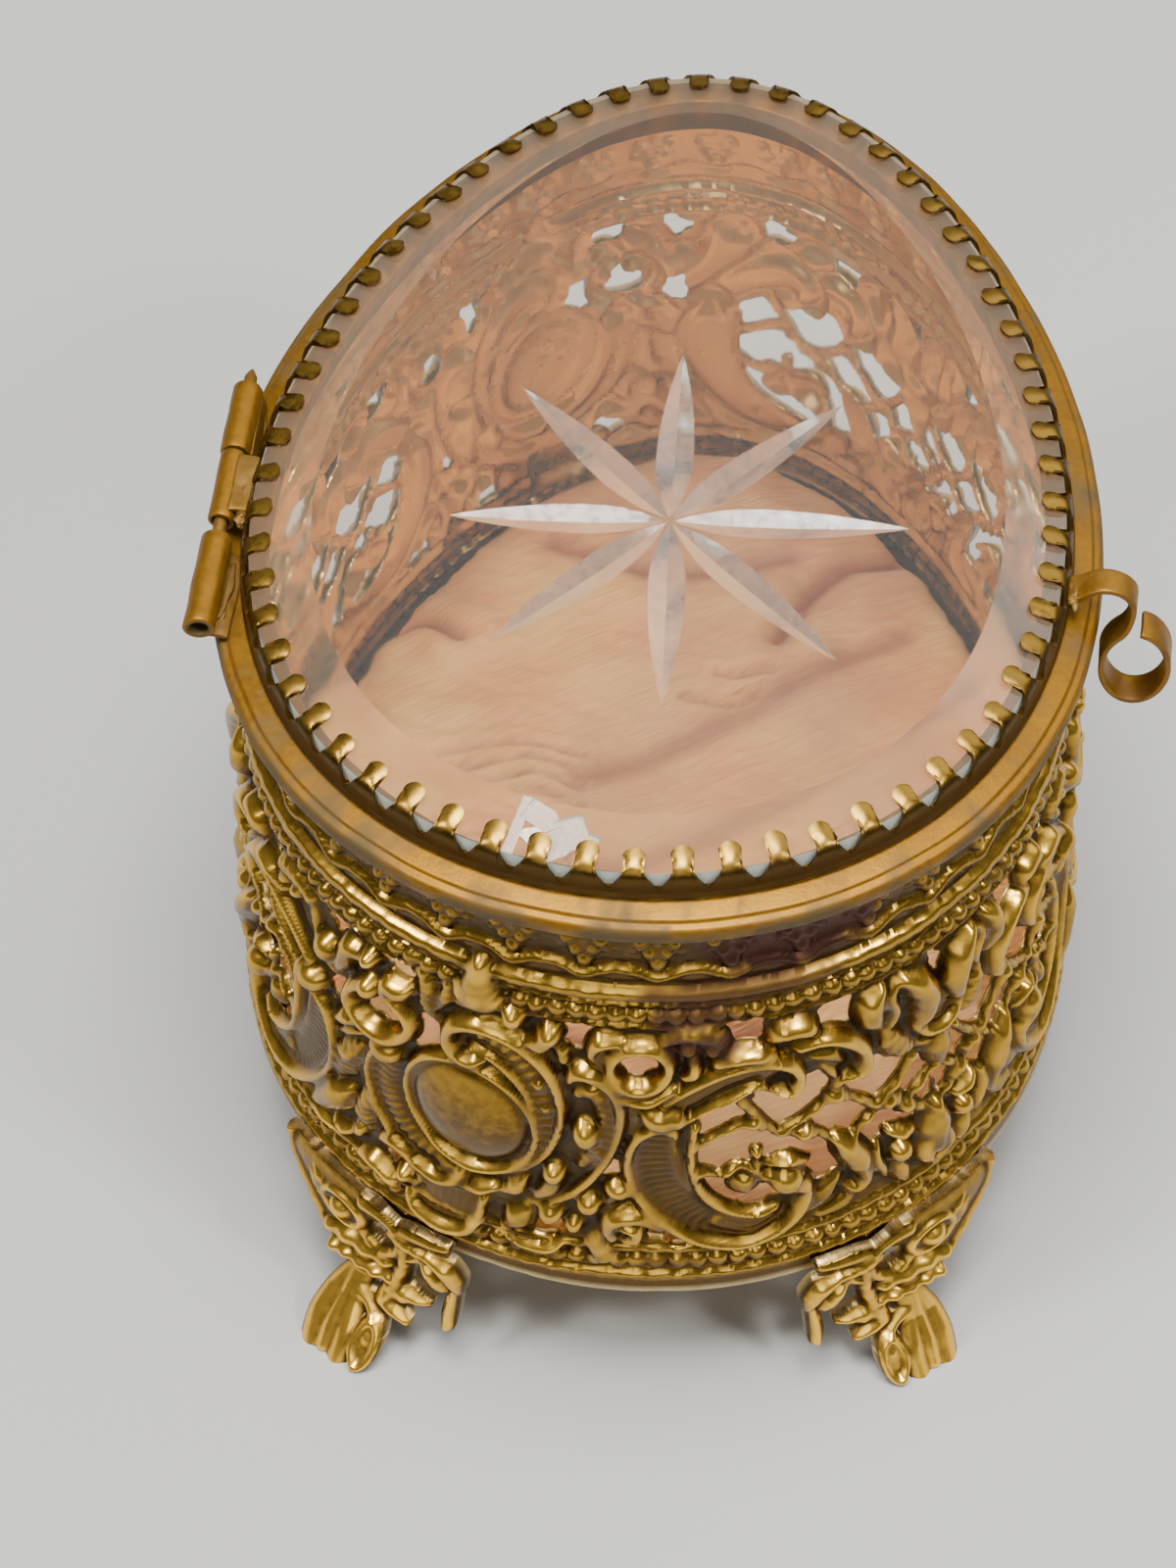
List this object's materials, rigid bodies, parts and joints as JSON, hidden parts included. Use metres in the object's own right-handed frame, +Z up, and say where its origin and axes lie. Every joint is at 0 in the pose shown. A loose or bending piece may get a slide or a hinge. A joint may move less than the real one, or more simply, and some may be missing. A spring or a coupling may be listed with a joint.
{
  "type": "ormolu trinket box",
  "caption": "Egg-shaped footed trinket box: pierced gilt brass side, hinged bevelled glass lid with a cut star, ring thumb pull and a silk pad.",
  "frame": {"origin": "centre of the bounding box, on the surface the feet stand on", "axes": "+Z up, Y along the egg's long axis with the narrow end at +Y, hinge at -X, thumb pull at +X"},
  "size_m": [0.0792, 0.094, 0.0711],
  "materials": {
    "gilt_brass": "tarnished gilding",
    "worn_gilt_brass": "worn matte gilding",
    "clear_glass": "polished, bevelled and cut",
    "peach_silk": "satin"
  },
  "bodies": {
    "box": {"gallery_band": "gilt_brass", "mouth_rim": "worn_gilt_brass", "base_pan": "worn_gilt_brass", "foot_front_left": "gilt_brass", "foot_front_right": "gilt_brass", "foot_back_left": "gilt_brass", "foot_back_right": "gilt_brass", "hinge_knuckle_near": "worn_gilt_brass", "hinge_knuckle_far": "worn_gilt_brass", "hinge_pin": "worn_gilt_brass", "silk_pad": "peach_silk"},
    "lid": {"lid_bezel": "gilt_brass", "lid_glass": "clear_glass", "thumb_pull": "worn_gilt_brass", "hinge_knuckle_lid": "worn_gilt_brass"}
  },
  "joints": [
    {"name": "lid_hinge", "type": "hinge", "parent": "box", "child": "lid", "pos_m": [-0.03827, -0.00604, 0.0692], "axis": [0, -1, 0], "range_deg": [0, 110]}
  ]
}
